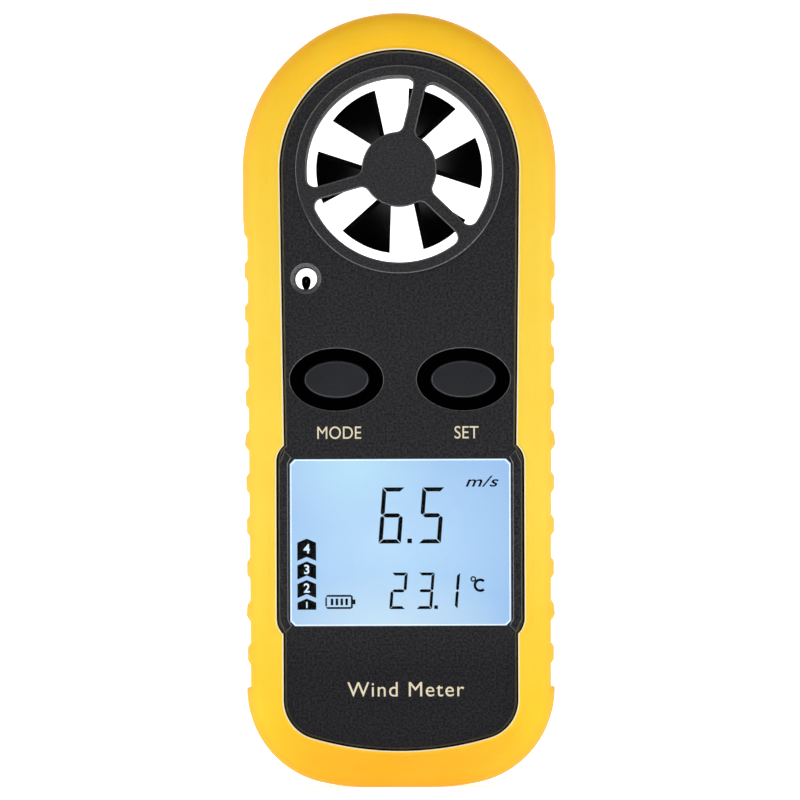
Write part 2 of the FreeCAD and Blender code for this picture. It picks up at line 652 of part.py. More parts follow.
def is_arm_root(edge, radius):
    """Whether an edge runs along the axis at this distance from it, where an arm meets a round wall."""
    bounds = edge.BoundBox
    if bounds.XLength > 0.05 or bounds.ZLength > 0.05 or bounds.YLength < 0.5:
        return False
    return abs(math.hypot(bounds.Center.x, bounds.Center.z) - number(radius)) < 0.2


def make_duct():
    """The tube that lines the airway between the two guards."""
    body = new_body("vane_duct")
    wall = ring("-(face_front + collar_proud - guard_thickness)",
                "face_back + collar_proud - guard_thickness",
                "airway_radius", "duct_radius")
    turned(body, "duct_wall", wall)
    on_vane_axis(body)


def blade_section(body, name, out, half):
    """The blade's section at a distance from the axis: a slanted bar seen along the blade."""
    sketch = start_sketch(body, name, "YZ_Plane", out)
    thick, deep = "blade_thickness / 2", "blade_half_depth"
    add_loop(sketch, [(f"-{deep}", f"-({half}) - {thick}"), (f"-{deep}", f"-({half}) + {thick}"),
                      (deep, f"{half} + {thick}"), (deep, f"{half} - {thick}")])
    return sketch


def make_impeller():
    """The rotor: a hub with six twisted blades and a bore for its shaft and magnet."""
    body = new_body("impeller")
    rim, inset = "rotor_radius - rotor_bevel", "rotor_half - rotor_bevel"
    turned(body, "rotor_hub", [("-rotor_half", "0"), ("rotor_half", "0"), ("rotor_half", rim),
                               (inset, "rotor_radius"), (f"-({inset})", "rotor_radius"),
                               ("-rotor_half", rim)])
    root = blade_section(body, "blade_root", "blade_root_radius", "blade_root_half")
    end = blade_section(body, "blade_end", "blade_loft_end", "blade_end_half")
    blade = body.newObject("PartDesign::AdditiveLoft", "blade")
    blade.Profile = root
    blade.Sections = [end]
    around(body, "blades", blade, "blade_count")
    turned(body, "blade_tips", ring("-2 * blade_half_depth", "2 * blade_half_depth", "blade_tip_radius",
                                    "2 * blade_tip_radius"), subtract=True)
    turned(body, "shaft_bore", ring("-2 * rotor_half", "2 * rotor_half", "0", "shaft_radius + fit"),
           subtract=True)
    turned(body, "magnet_bore", ring("rotor_half - magnet_length - slack", "2 * rotor_half", "0",
                                     "magnet_radius + fit"), subtract=True)
    on_vane_axis(body, "blade_turn")


def make_rotor_pieces():
    """Shaft, magnet and the two bearings on the vane's axis."""
    shaft = new_body("impeller_shaft")
    turned(shaft, "shaft", [("-shaft_half", "0"), ("shaft_half", "0"), ("shaft_half", "shaft_tip_radius"),
                            ("shaft_half - shaft_tip", "shaft_radius"),
                            ("-shaft_half + shaft_tip", "shaft_radius"),
                            ("-shaft_half", "shaft_tip_radius")])
    on_vane_axis(shaft)
    magnet = new_body("impeller_magnet")
    turned(magnet, "magnet", ring("rotor_half - magnet_length", "rotor_half", "shaft_radius + fit",
                                  "magnet_radius"))
    on_vane_axis(magnet)
    for sign, word in (("-", "front"), ("", "rear")):
        bearing = new_body(word + "_bearing")
        levels = (f"{sign}(boss_reach + slack)", f"{sign}(boss_reach + slack + bearing_length)")
        turned(bearing, word + "_bush",
               ring(*levels, "shaft_radius + shaft_clearance", "bearing_radius - fit"))
        on_vane_axis(bearing)


# ---------------------------------------------------------------- keys and switches

def make_key(word, sign):
    """A key cap with a flange behind the face and a stem that reaches its switch."""
    body = new_body(word + "_key")
    across = sign + "key_x"
    cap = ellipse_on(body, word + "_cap_outline", "-flange_back", across, "key_z", "key_wide", "key_tall")
    add(body, word + "_cap", cap, "key_top - flange_back")
    soften(body, "Fillet", word + "_cap_edge", "key_edge", lambda edge: flat_at(edge, "-key_top"))
    flange = ellipse_on(body, word + "_flange_outline", "-flange_back", across, "key_z",
                        "flange_wide", "flange_tall")
    add(body, word + "_flange", flange, "flange_front - flange_back")
    stem = circles_on(body, word + "_stem_circle", "-flange_back", (across, "key_z", "stem_radius"))
    add(body, word + "_stem", stem, "flange_back - plunger_front", to_front=False)


def make_switch(word, sign):
    """A tactile switch on the board and the plunger that moves in it."""
    across = sign + "key_x"
    sides = (f"{across} - switch_wide / 2", f"{across} + switch_wide / 2")
    heights = ("key_z - switch_tall / 2", "key_z + switch_tall / 2")
    shell = block(word + "_switch_block", sides, ("-switch_front", "-board_front"), heights)
    bore = rod(word + "_switch_bore", across, ("-switch_front - overrun", "-switch_floor"), "key_z",
               "plunger_hole_radius")
    kept(cut(word + "_switch", shell, bore))
    kept(rod(word + "_switch_plunger", across, ("-plunger_front", "-plunger_back"), "key_z",
             "plunger_radius"))


# ---------------------------------------------------------------- display

def make_lens():
    """The clear window, with a flange that is bonded behind the face."""
    body = new_body("lcd_window")
    flange = view_outline("-lens_flange")
    add(body, "lens_flange_pad", loops_on(body, "lens_flange_outline", "-lens_flange_back", flange),
        "deep_floor - lens_flange_back")
    front = view_outline("lens_gap")
    add(body, "lens_front_pad", loops_on(body, "lens_front_outline", "-deep_floor", front),
        "lens_front - deep_floor")


def make_display():
    """Display glass in its frame, with a light panel and the strips that join it to the board."""
    glass = rectangle("glass_half_wide", "display_z", "glass_half_tall")
    plate = new_body("lcd_glass")
    add(plate, "lcd_plate", loops_on(plate, "lcd_outline", "-glass_back", glass), "glass_front - glass_back")
    frame = new_body("lcd_frame")
    outer = rectangle("glass_half_wide + slack + frame_wall", "display_z",
                      "glass_half_tall + slack + frame_wall")
    inner = rectangle("glass_half_wide + slack", "display_z", "glass_half_tall + slack")
    add(frame, "frame_ring", loops_on(frame, "frame_outline", "-board_front", outer, inner),
        "frame_front - board_front")
    light = new_body("backlight_panel")
    panel = rectangle("light_half_wide", "display_z", "light_half_tall")
    add(light, "light_plate", loops_on(light, "light_outline", "-light_back", panel),
        "light_front - light_back")
    for sign, word in (("-", "left"), ("", "right")):
        near, far = "light_half_wide + slack", "light_half_wide + slack + lamp_wide"
        across = (near, far) if word == "right" else (f"-({far})", f"-({near})")
        kept(block("backlight_led_" + word, across, ("-light_front", "-board_front"),
                   ("display_z - lamp_tall / 2", "display_z + lamp_tall / 2")))
    near, far = "light_half_tall + strip_gap", "light_half_tall + strip_gap + strip_tall"
    strips = {"upper": (f"display_z + {near}", f"display_z + {far}"),
              "lower": (f"display_z - ({far})", f"display_z - ({near})")}
    for word, heights in strips.items():
        kept(block("lcd_connector_" + word, ("-light_half_wide", "light_half_wide"),
                   ("-glass_back", "-board_front"), heights))


# ---------------------------------------------------------------- circuit board and what is on it

def make_board():
    """The circuit board: rounded below, with a tongue that reaches up to the vane's duct."""
    body = new_body("circuit_board")
    side, low, high, corner = "board_side", "board_low", "board_high", "board_corner"
    right = [(f"{side} - {corner}", low), (side, f"{low} + {corner}", corner), (side, high),
             ("tongue_half", high), ("tongue_half", "tongue_high")]
    left = [("-tongue_half", "tongue_high"), ("-tongue_half", high), (f"-{side}", high),
            (f"-{side}", f"{low} + {corner}"), (f"-{side} + {corner}", low, corner)]
    add(body, "board_plate", loops_on(body, "board_outline", "-board_back", right + left),
        "board_front - board_back")
    holes = [(across, up, "boss_radius + 4 * slack") for across, up in screw_places()]
    screws = [(across, up, "board_screw_radius + slack") for across, up in post_places()]
    remove(body, "board_holes", circles_on(body, "board_hole_circles", "-board_back", *holes, *screws),
           "body_depth")


def make_board_parts():
    """Chip, crystal, capacitors and the sensor that feels the impeller's magnet."""
    kept(block("wind_sensor", ("-sensor_half", "sensor_half"), ("-board_back", "-board_back + sensor_thick"),
               ("sensor_low", "sensor_high")))
    chip = new_body("main_chip")
    turned(chip, "chip_dome", [("-board_back", "0"), ("-board_back", "chip_radius"),
                               ("-board_back + chip_proud", "0", "-chip_curve")])
    bind(chip, Placement__Base__z="chip_z")
    crystal = doc.addObject("Part::Cylinder", "crystal")
    bind(crystal, Radius="crystal_radius", Height="crystal_long")
    place(crystal, "-crystal_x", "-board_back + crystal_radius + slack", "crystal_low")
    kept(crystal)
    for index in range(4):
        near = f"capacitor_x + {index} * capacitor_pitch"
        kept(block(f"capacitor_{index + 1}", (near, f"{near} + capacitor_wide"),
                   ("-board_back", "-board_back + capacitor_thick"), ("capacitor_low", "capacitor_high")))


def make_thermistor():
    """The bead in the side passage and the two leads that carry it down to the board."""
    body = new_body("thermistor")
    bead = start_sketch(body, "bead_profile", "XZ_Plane", "0")
    add_loop(bead, [("0", "0"), ("bead_foot", "0"),
                    ("bead_radius", "bead_height - bead_radius", "bead_curve"),
                    ("0", "bead_height", "bead_radius")])
    turn = body.newObject("PartDesign::Revolution", "bead")
    turn.Profile = bead
    turn.ReferenceAxis = (bead, ["V_Axis"])
    turn.Angle = 360
    for side, word in (("-", "left"), ("", "right")):
        across = f"{side}lead_x"
        section = start_sketch(body, f"{word}_lead_section", "XY_Plane", "lead_top")
        add_circle(section, across, "0", "lead_radius")
        path = start_sketch(body, f"{word}_lead_path", "YZ_Plane", across)
        corners = [("0", "lead_top"), ("0", "-lead_low"), ("-lead_bend", "-lead_low - lead_bend"),
                   ("-board_back", "-lead_low - lead_bend")]
        places = [Vector(number(along), number(up), 0) for along, up in corners]
        path.addGeometry(Part.LineSegment(places[0], places[1]), False)
        path.addGeometry(arc_between(places[1], places[2], -number("lead_bend")), False)
        path.addGeometry(Part.LineSegment(places[2], places[3]), False)
        pipe = body.newObject("PartDesign::AdditivePipe", f"{word}_lead")
        pipe.Profile = section
        pipe.Spine = path
        doc.recompute()
    bind(body, Placement__Base__x="-probe_x", Placement__Base__z="probe_z - probe_hole")


# ---------------------------------------------------------------- battery compartment

def make_battery():
    """The coin cell and its two contacts, whose pins reach the board."""
    cell = new_body("coin_cell")
    can = circles_on(cell, "cell_circle", "cell_front + button_proud", ("0", "cell_z", "cell_radius"))
    add(cell, "cell_can", can, "cell_back - cell_front - button_proud", to_front=False)
    soften(cell, "Fillet", "cell_edge", "cell_round", lambda edge: flat_at(edge, "cell_back"))
    button = circles_on(cell, "button_circle", "cell_front + button_proud", ("0", "cell_z", "button_radius"))
    add(cell, "cell_button", button, "button_proud")
    floor = ("well_floor", "well_floor + contact_thickness")
    plate = block("negative_plate", ("-plate_half_wide", "plate_half_wide"), floor,
                  ("cell_z - plate_half_tall", "cell_z + plate_half_tall"))
    dimple = rod("negative_dimple", "0", ("well_floor", "cell_front"), "cell_z", "dimple_radius")
    pin = rod("negative_pin", "0", ("-board_back", "well_floor"), "cell_z", "pin_radius")
    kept(fused("battery_contact_negative", plate, dimple, pin))
    outer = "cell_radius + contact_gap + contact_thickness"
    strip_heights = ("cell_z - contact_half", "cell_z + contact_half")
    strip = block("positive_strip", ("cell_radius + contact_gap", outer), ("well_floor", "contact_high"),
                  strip_heights)
    foot = block("positive_foot", ("side_pin_x - 2 * pin_radius", outer), floor, strip_heights)
    pin = rod("positive_pin", "side_pin_x", ("-board_back", "well_floor"), "cell_z", "pin_radius")
    kept(fused("battery_contact_positive", strip, foot, pin))


def make_battery_cap():
    """The round cap with its coin slot and bayonet lugs, and the seal under it."""
    cap = new_body("battery_cap")
    under = "seat + fit"
    add(cap, "cap_disc", circles_on(cap, "cap_circle", under, ("0", "0", "cap_radius")),
        f"face_back - ({under})", to_front=False)
    sector = sector_on(cap, "lug_outline", "seat + lug_gap", "lug_radius", "lug_span", lug_turns()[0])
    lug = add(cap, "lug", sector, "lug_top - seat - lug_gap", to_front=False)
    around(cap, "lugs", lug, "lug_count")
    turned(cap, "seal_groove", ring("0", "seat + seal_groove_deep", "seal_ring - seal_groove_half",
                                    "seal_ring + seal_groove_half"), subtract=True)
    slot = rectangle("coin_slot_long / 2", "0", "coin_slot_wide / 2")
    remove(cap, "coin_slot", loops_on(cap, "slot_outline", "face_back - coin_slot_deep", slot),
           "body_depth", to_front=False)
    soften(cap, "Chamfer", "cap_rim", "cap_bevel",
           lambda edge: flat_at(edge, "face_back") and edge.BoundBox.XLength > number("cap_radius"))
    bind(cap, Placement__Base__z="cell_z")
    seal = doc.addObject("Part::Torus", "battery_cap_seal")
    seal.Placement = Placement(Vector(), Rotation(Vector(1, 0, 0), -90))
    bind(seal, Radius1="seal_ring", Radius2="seal_radius")
    place(seal, "0", "seat + seal_groove_deep / 2", "cell_z")
    kept(seal)


# ---------------------------------------------------------------- screws

def make_screw(label, across, up, under_head, head, head_radius, reach, radius):
    """A pan-head screw driven from the back, with a cross recess."""
    body = new_body(label)
    middle = circles_on(body, label + "_head_circle", under_head, ("0", "0", head_radius))
    add(body, label + "_head", middle, head, to_front=False)
    soften(body, "Fillet", label + "_head_edge", "screw_head_round",
           lambda edge: flat_at(edge, f"{under_head} + {head}"))
    shank = circles_on(body, label + "_shank_circle", under_head, ("0", "0", radius))
    add(body, label + "_shank", shank, reach)
    for turn, word in ((0, "first"), (90, "second")):
        bar = rectangle(f"{head_radius} * cross_long", "0", f"{head_radius} * cross_wide")
        if turn:
            bar = rectangle(f"{head_radius} * cross_wide", "0", f"{head_radius} * cross_long")
        sketch = loops_on(body, f"{label}_{word}_bar", f"{under_head} + {head} * cross_floor", bar)
        remove(body, f"{label}_{word}_slot", sketch, head, to_front=False)
    bind(body, Placement__Base__x=across, Placement__Base__z=up)


def make_screws():
    """Four screws hold the case together and three hold the circuit board."""
    for index, (across, up) in enumerate(screw_places(), 1):
        make_screw(f"case_screw_{index}", across, up, "(face_back - screw_sunk)", "screw_head",
                   "screw_head_radius", "face_back - screw_sunk + screw_reach", "screw_radius")
    for index, (across, up) in enumerate(post_places(), 1):
        make_screw(f"board_screw_{index}", across, up, "(-board_back)", "board_screw_head",
                   "board_screw_head_radius", "board_front - board_back + board_screw_reach",
                   "board_screw_radius")


# ---------------------------------------------------------------- build, check and write

def build_all():
    make_boot()
    make_front_housing()
    make_rear_housing()
    make_guard("vane_front_guard", True)
    make_guard("vane_rear_guard", False)
    make_duct()
    make_impeller()
    make_rotor_pieces()
    for word, sign in (("mode", "-"), ("set", "")):
        make_key(word, sign)
        make_switch(word, sign)
    make_lens()
    make_display()
    make_board()
    make_board_parts()
    make_thermistor()
    make_battery()
    make_battery_cap()
    make_screws()
    doc.recompute()


def check_all():
    """Stop at any failed feature and at any sub-part without a sound solid."""
    for thing in doc.Objects:
        if {"Invalid", "Error"} & set(thing.State):
            raise RuntimeError(f"{thing.Name} failed: {thing.State}")
    for node in nodes:
        if node.Shape.isNull() or not node.Shape.isValid() or not node.Shape.Solids:
            raise RuntimeError(f"{node.Label} has no sound solid")


def write_all():
    os.makedirs("parts", exist_ok=True)
    for node in nodes:
        node.Shape.exportStep(f"parts/{node.Label}.step")
        print(f"{node.Label}: {node.Shape.Volume:.1f} mm3, {len(node.Shape.Solids)} solid")


build_all()
check_all()
write_all()
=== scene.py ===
"""Looks for the handheld weather meter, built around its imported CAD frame.

Lengths in the tables below are millimetres in the frame's axes and become metres in mm().
The display faces -Y, +Z runs up the meter and the foot's middle is the origin.
"""

import json
import math

import bmesh
import bpy
from mathutils import Matrix, Vector


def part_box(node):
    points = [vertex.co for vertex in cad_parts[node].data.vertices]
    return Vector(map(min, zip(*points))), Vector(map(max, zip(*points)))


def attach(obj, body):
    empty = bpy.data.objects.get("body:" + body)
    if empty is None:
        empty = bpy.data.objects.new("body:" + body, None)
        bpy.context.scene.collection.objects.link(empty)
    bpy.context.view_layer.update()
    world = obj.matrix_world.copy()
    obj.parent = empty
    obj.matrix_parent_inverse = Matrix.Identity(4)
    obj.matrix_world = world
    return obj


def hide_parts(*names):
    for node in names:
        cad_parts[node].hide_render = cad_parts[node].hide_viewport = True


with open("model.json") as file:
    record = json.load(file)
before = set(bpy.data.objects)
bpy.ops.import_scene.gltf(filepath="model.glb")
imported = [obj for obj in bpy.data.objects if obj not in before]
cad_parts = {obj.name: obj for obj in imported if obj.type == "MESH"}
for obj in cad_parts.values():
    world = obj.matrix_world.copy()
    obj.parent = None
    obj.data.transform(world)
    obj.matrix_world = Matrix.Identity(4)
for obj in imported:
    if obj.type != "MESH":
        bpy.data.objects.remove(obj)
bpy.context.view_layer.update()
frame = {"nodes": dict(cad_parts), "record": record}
nodes = frame["nodes"]

MILLIMETRE = 0.001


def mm(*lengths):
    """Millimetres as metres: one number, or a vector of three."""
    if len(lengths) == 1:
        return lengths[0] * MILLIMETRE
    return Vector(lengths) * MILLIMETRE


def middle(node):
    low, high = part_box(node)
    return (low + high) / 2


# ---------------------------------------------------------------- places read from the frame

boot_low, boot_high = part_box("boot")
FRONT = boot_low.y / MILLIMETRE
BACK = boot_high.y / MILLIMETRE
SIDE = boot_high.x / MILLIMETRE
VANE_Z = middle("vane_duct").z / MILLIMETRE
FACE_Y = FRONT + 0.6
GLASS_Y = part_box("lcd_glass")[0].y / MILLIMETRE
DISPLAY_Z = middle("lcd_window").z / MILLIMETRE


# ---------------------------------------------------------------- node-based materials

def linear(channel):
    """One display value, 0 to 255, as a linear value."""
    share = channel / 255
    return share / 12.92 if share <= 0.04045 else ((share + 0.055) / 1.055) ** 2.4


def colour(red, green, blue):
    return (linear(red), linear(green), linear(blue), 1.0)


def times(shade, factor):
    """A colour made darker or brighter."""
    return tuple(channel * factor for channel in shade[:3]) + (1,)


class Look:
    """A material under construction: a Principled shader and the nodes that feed it."""

    def __init__(self, name, **sockets):
        self.material = bpy.data.materials.new(name)
        self.material.use_nodes = True
        self.tree = self.material.node_tree
        self.shader = self.tree.nodes["Principled BSDF"]
        self.place = None
        for socket, value in sockets.items():
            self.shader.inputs[socket.replace("_", " ")].default_value = value

    def node(self, kind, **settings):
        """Add a node; settings name its properties, or its sockets when spelled with a capital."""
        made = self.tree.nodes.new("ShaderNode" + kind)
        for name, value in settings.items():
            if name[0].isupper():
                made.inputs[name.replace("_", " ")].default_value = value
            else:
                setattr(made, name, value)
        return made

    def link(self, source, target):
        self.tree.links.new(source, target)

    def coordinates(self):
        """Object coordinates, which are the frame's own metres."""
        if self.place is None:
            self.place = self.node("TexCoord").outputs["Object"]
        return self.place

    def noise(self, size, detail=3.0, roughness=0.55):
        """Noise whose blobs are about this many millimetres across."""
        made = self.node("TexNoise", Scale=1 / mm(size), Detail=detail, Roughness=roughness)
        self.link(self.coordinates(), made.inputs["Vector"])
        return made.outputs["Fac"]

    def ramp(self, source, *stops):
        """Colours or greys along 0 to 1; each stop is (place, colour)."""
        made = self.node("ValToRGB")
        elements = made.color_ramp.elements
        while len(elements) < len(stops):
            elements.new(0.5)
        for element, (place, shade) in zip(elements, stops):
            element.position = place
            element.color = shade if isinstance(shade, tuple) else (shade, shade, shade, 1)
        self.link(source, made.inputs["Fac"])
        return made.outputs["Color"]

    def clouds(self, source):
        """Noise spread out to run from 0 to 1."""
        return self.ramp(source, (0.3, 0.0), (0.7, 1.0))

    def mix(self, share, first, second):
        """Mix two colours; each may be a socket or a plain colour, and so may the share."""
        made = self.node("Mix", data_type="RGBA")
        for socket, value in zip((made.inputs[0], made.inputs[6], made.inputs[7]), (share, first, second)):
            if isinstance(value, bpy.types.NodeSocket):
                self.link(value, socket)
            else:
                socket.default_value = value
        return made.outputs[2]

    def math(self, operation, *values):
        made = self.node("Math", operation=operation)
        for socket, value in zip(made.inputs, values):
            if isinstance(value, bpy.types.NodeSocket):
                self.link(value, socket)
            else:
                socket.default_value = value
        return made.outputs[0]

    def part_of(self, vector, axis):
        split = self.node("SeparateXYZ")
        self.link(vector, split.inputs[0])
        return split.outputs[axis]

    def between(self, source, low, high):
        """0 to 1 as a length goes from low to high millimetres."""
        made = self.node("MapRange", From_Min=mm(low), From_Max=mm(high))
        self.link(source, made.inputs["Value"])
        return made.outputs["Result"]

    def along(self, axis, low, high):
        """0 to 1 as a coordinate goes from low to high millimetres."""
        return self.between(self.part_of(self.coordinates(), axis), low, high)

    def far_from_middle(self, low, high):
        """0 to 1 as the distance from the parting plane goes from low to high millimetres."""
        return self.between(self.math("ABSOLUTE", self.part_of(self.coordinates(), "Y")), low, high)

    def paint(self, source):
        self.link(source, self.shader.inputs["Base Color"])

    def bumps(self, *layers):
        """Stack bumps; each layer is (source, height in millimetres, strength)."""
        last = None
        for source, height, strength in layers:
            made = self.node("Bump", Distance=mm(height), Strength=strength)
            self.link(source, made.inputs["Height"])
            if last is not None:
                self.link(last, made.inputs["Normal"])
            last = made.outputs["Normal"]
        self.link(last, self.shader.inputs["Normal"])

    def roughness(self, source, low, high):
        made = self.node("MapRange", To_Min=low, To_Max=high)
        self.link(source, made.inputs["Value"])
        self.link(made.outputs["Result"], self.shader.inputs["Roughness"])


def silicone():
    """Boot rubber: warm yellow with a fine matt skin; painted shade makes it deeper orange at the head, the
    foot and the sides, and a painted highlight lightens the lip's inner edge.
    """
    look = Look("boot_silicone", Specular_IOR_Level=0.2, Subsurface_Weight=0.12, Subsurface_Scale=mm(1.2))
    look.shader.inputs["Subsurface Radius"].default_value = (1.0, 0.5, 0.15)
    # painted shade: the colour is a deeper orange at the foot and the head, where the light falls off, and
    # palest in the middle
    height = look.along("Z", 0, 105)
    tone = look.ramp(height, (0.0, colour(248, 168, 8)), (0.09, colour(255, 204, 34)),
                     (0.35, colour(255, 217, 74)), (0.7, colour(255, 216, 70)),
                     (0.95, colour(255, 198, 24)))
    cloud = look.clouds(look.noise(9, 4))
    shade = look.mix(0.10, tone, look.mix(cloud, colour(244, 172, 30), colour(255, 222, 96)))
    # painted shade: the sides, away from the lips, get a deeper orange; the same share also sets the gloss
    clear_of_painted_shade = look.far_from_middle(6.2, 8.7)
    shade = look.mix(clear_of_painted_shade, look.mix(0.8, shade, colour(242, 160, 20)), shade)
    gloss = look.math("MULTIPLY_ADD", clear_of_painted_shade, 0.16, 0.06)
    look.link(gloss, look.shader.inputs["Specular IOR Level"])
    # painted highlight: the bead along the lip's inner edge is coloured near white
    edge = look.node("Attribute", attribute_name="lip_painted_highlight")
    look.paint(look.mix(edge.outputs["Fac"], shade, colour(255, 250, 222)))
    dust = look.noise(0.45, 6, 0.7)
    look.roughness(look.noise(3, 5), 0.40, 0.54)
    look.bumps((dust, 0.012, 0.55), (look.noise(4, 3), 0.05, 0.25))
    return look.material


# painted shade: a dim foot keeps only this share of its gloss
FOOT_GLOSS = 0.58                        # the share of its gloss that a dim foot keeps
RIM_SMOOTHER = 0.22                      # how much less rough a bright rim is
RIM_SLOPES = ((0.3, 0.0), (0.5, 1.0), (0.75, 1.0), (0.92, 0.0))


def rims(look):
    """1 where a surface slopes between facing the display's way and facing sideways."""
    normal = look.node("TexCoord").outputs["Normal"]
    return look.ramp(look.math("ABSOLUTE", look.part_of(normal, "Y")), *RIM_SLOPES)


def moulded(name, dark, light, grain=0.22, height=0.012, gloss=(0.42, 0.56), edge=0.06, shine=0.35,
            speckle=0.25, painted_well_shade=None, polish=0.0, painted_foot_shade=None):
    """Spark-textured plastic: fine grain, mottling and rounded edges, with painted shade in its wells and at
    its foot when asked for.

    painted_well_shade: the distances from the parting plane between which painted shade turns its wells
    black
    polish: how much glossier its rims are
    fade: the heights between which painted shade dims its foot's gloss
    """
    look = Look(name, Specular_IOR_Level=shine)
    fine = look.noise(grain, 4, 0.65)
    broad = look.clouds(look.noise(6, 4))
    speck = look.ramp(fine, (0.4, 0.0), (0.6, 1.0))
    tone = look.mix(look.math("MULTIPLY", speck, speckle), look.mix(broad, dark, light), times(light, 2))
    level = look.math("MULTIPLY_ADD", speck, speckle * shine, (1 - speckle / 2) * shine)
    rough = look.math("MULTIPLY_ADD", broad, gloss[1] - gloss[0], gloss[0])
    if polish:
        turned = rims(look)
        level = look.math("MULTIPLY_ADD", turned, polish, level)
        rough = look.math("MULTIPLY_ADD", turned, -RIM_SMOOTHER, rough)
    # painted shade: the gloss falls off towards the foot
    if painted_foot_shade:
        kept = look.math("MULTIPLY_ADD", look.along("Z", *painted_foot_shade), 1 - FOOT_GLOSS, FOOT_GLOSS)
        level = look.math("MULTIPLY", level, kept)
    # painted shade: deep wells turn near black and lose their gloss
    if painted_well_shade:
        clear_of_painted_shade = look.far_from_middle(*painted_well_shade)
        tone = look.mix(clear_of_painted_shade, colour(2, 2, 2), tone)
        level = look.math("MULTIPLY", clear_of_painted_shade, level)
    look.paint(tone)
    look.link(level, look.shader.inputs["Specular IOR Level"])
    look.link(rough, look.shader.inputs["Roughness"])
    rounded = look.node("Bevel", samples=6, Radius=mm(edge))
    made = look.node("Bump", Distance=mm(height), Strength=0.6)
    look.link(fine, made.inputs["Height"])
    look.link(rounded.outputs["Normal"], made.inputs["Normal"])
    look.link(made.outputs["Normal"], look.shader.inputs["Normal"])
    return look.material


def metal(name, shade, low, high, stretch=(1, 1, 12)):
    """Turned or rolled metal with drawn streaks in its gloss."""
    look = Look(name, Metallic=1.0)
    scale = look.node("Mapping", Scale=stretch)
    look.link(look.coordinates(), scale.inputs["Vector"])
    streak = look.node("TexNoise", Scale=1 / mm(0.6), Detail=4.0)
    look.link(scale.outputs[0], streak.inputs["Vector"])
    look.paint(look.mix(look.clouds(streak.outputs["Fac"]), shade, times(shade, 0.75)))
    look.roughness(streak.outputs["Fac"], low, high)
    look.bumps((streak.outputs["Fac"], 0.004, 0.4))
    return look.material


def plain(name, shade, low, high, size=1.0, height=0.006, **sockets):
    """Small moulded or fired pieces: slight mottling and uneven gloss."""
    look = Look(name, **sockets)
    cloud = look.noise(size, 4)
    look.paint(look.mix(look.clouds(cloud), times(shade, 0.8), shade))
    look.roughness(cloud, low, high)
    look.bumps((look.noise(size / 4, 5), height, 0.5))
    return look.material


def clear_window():
    """The hard clear lens: light passes through it, and an anti-glare coat holds back its gloss."""
    look = Look("window_acrylic", Transmission_Weight=1.0, IOR=1.49, Specular_Tint=(0.12, 0.12, 0.12, 1))
    smear = look.noise(5, 4)
    look.paint(look.mix(look.clouds(smear), (0.97, 0.99, 1, 1), (1, 1, 1, 1)))
    look.roughness(smear, 0.0, 0.02)
    return look.material


def lit_display():
    """Backlit display: light blue, palest above and below the middle."""
    look = Look("display_backlight", Roughness=0.35, Specular_IOR_Level=0.1, Emission_Strength=0.92)

    def spot(across, up, wide, tall):
        """1 in the middle of an oval patch, falling to 0 at its rim."""
        parts = []
        for axis, centre, size in (("X", across, wide), ("Z", up, tall)):
            offset = look.math("SUBTRACT", look.part_of(look.coordinates(), axis), mm(centre))
            reach = look.math("ABSOLUTE", look.math("DIVIDE", offset, mm(size)))
            parts.append(look.math("POWER", reach, 2.0))
        distance = look.math("SQRT", look.math("ADD", *parts))
        return look.ramp(look.math("SUBTRACT", 1.0, distance), (0.0, 0.0), (1.0, 1.0))

    tone = look.mix(spot(-2, DISPLAY_Z, 21, 17), colour(160, 200, 244), colour(192, 228, 255))
    tone = look.mix(spot(-7, DISPLAY_Z + 11, 12, 9), tone, colour(194, 235, 255))
    tone = look.mix(spot(-2, DISPLAY_Z - 13, 19, 9), tone, colour(214, 240, 252))
    patch = look.ramp(look.noise(7, 2), (0.35, 0.0), (0.65, 1.0))
    tone = look.mix(look.math("MULTIPLY", patch, 0.18), tone, colour(178, 206, 250))
    look.paint(look.mix(0.9, tone, (0, 0, 0, 1)))
    look.link(tone, look.shader.inputs["Emission Color"])
    return look.material


def board():
    """Green solder mask with copper tracks showing faintly through it."""
    look = Look("board_mask", Roughness=0.3, Coat_Weight=0.3)
    tracks = look.node("TexBrick", Scale=1 / mm(3), Mortar_Size=0.03, offset=0.5)
    turn = look.node("Mapping", Rotation=(math.radians(90), 0, 0))
    look.link(look.coordinates(), turn.inputs["Vector"])
    look.link(turn.outputs[0], tracks.inputs["Vector"])
    look.paint(look.mix(tracks.outputs["Fac"], colour(18, 92, 48), colour(48, 138, 72)))
    look.bumps((tracks.outputs["Fac"], 0.03, 0.4))
    return look.material


def ink(name, shade, glow=0.0):
    """Printed or displayed marks: flat ink of a slightly uneven density, which may glow."""
    look = Look(name, Roughness=0.6, Specular_IOR_Level=0.05, Emission_Color=shade, Emission_Strength=glow)
    look.paint(look.mix(look.clouds(look.noise(0.4, 4)), times(shade, 0.86), shade))
    return look.material


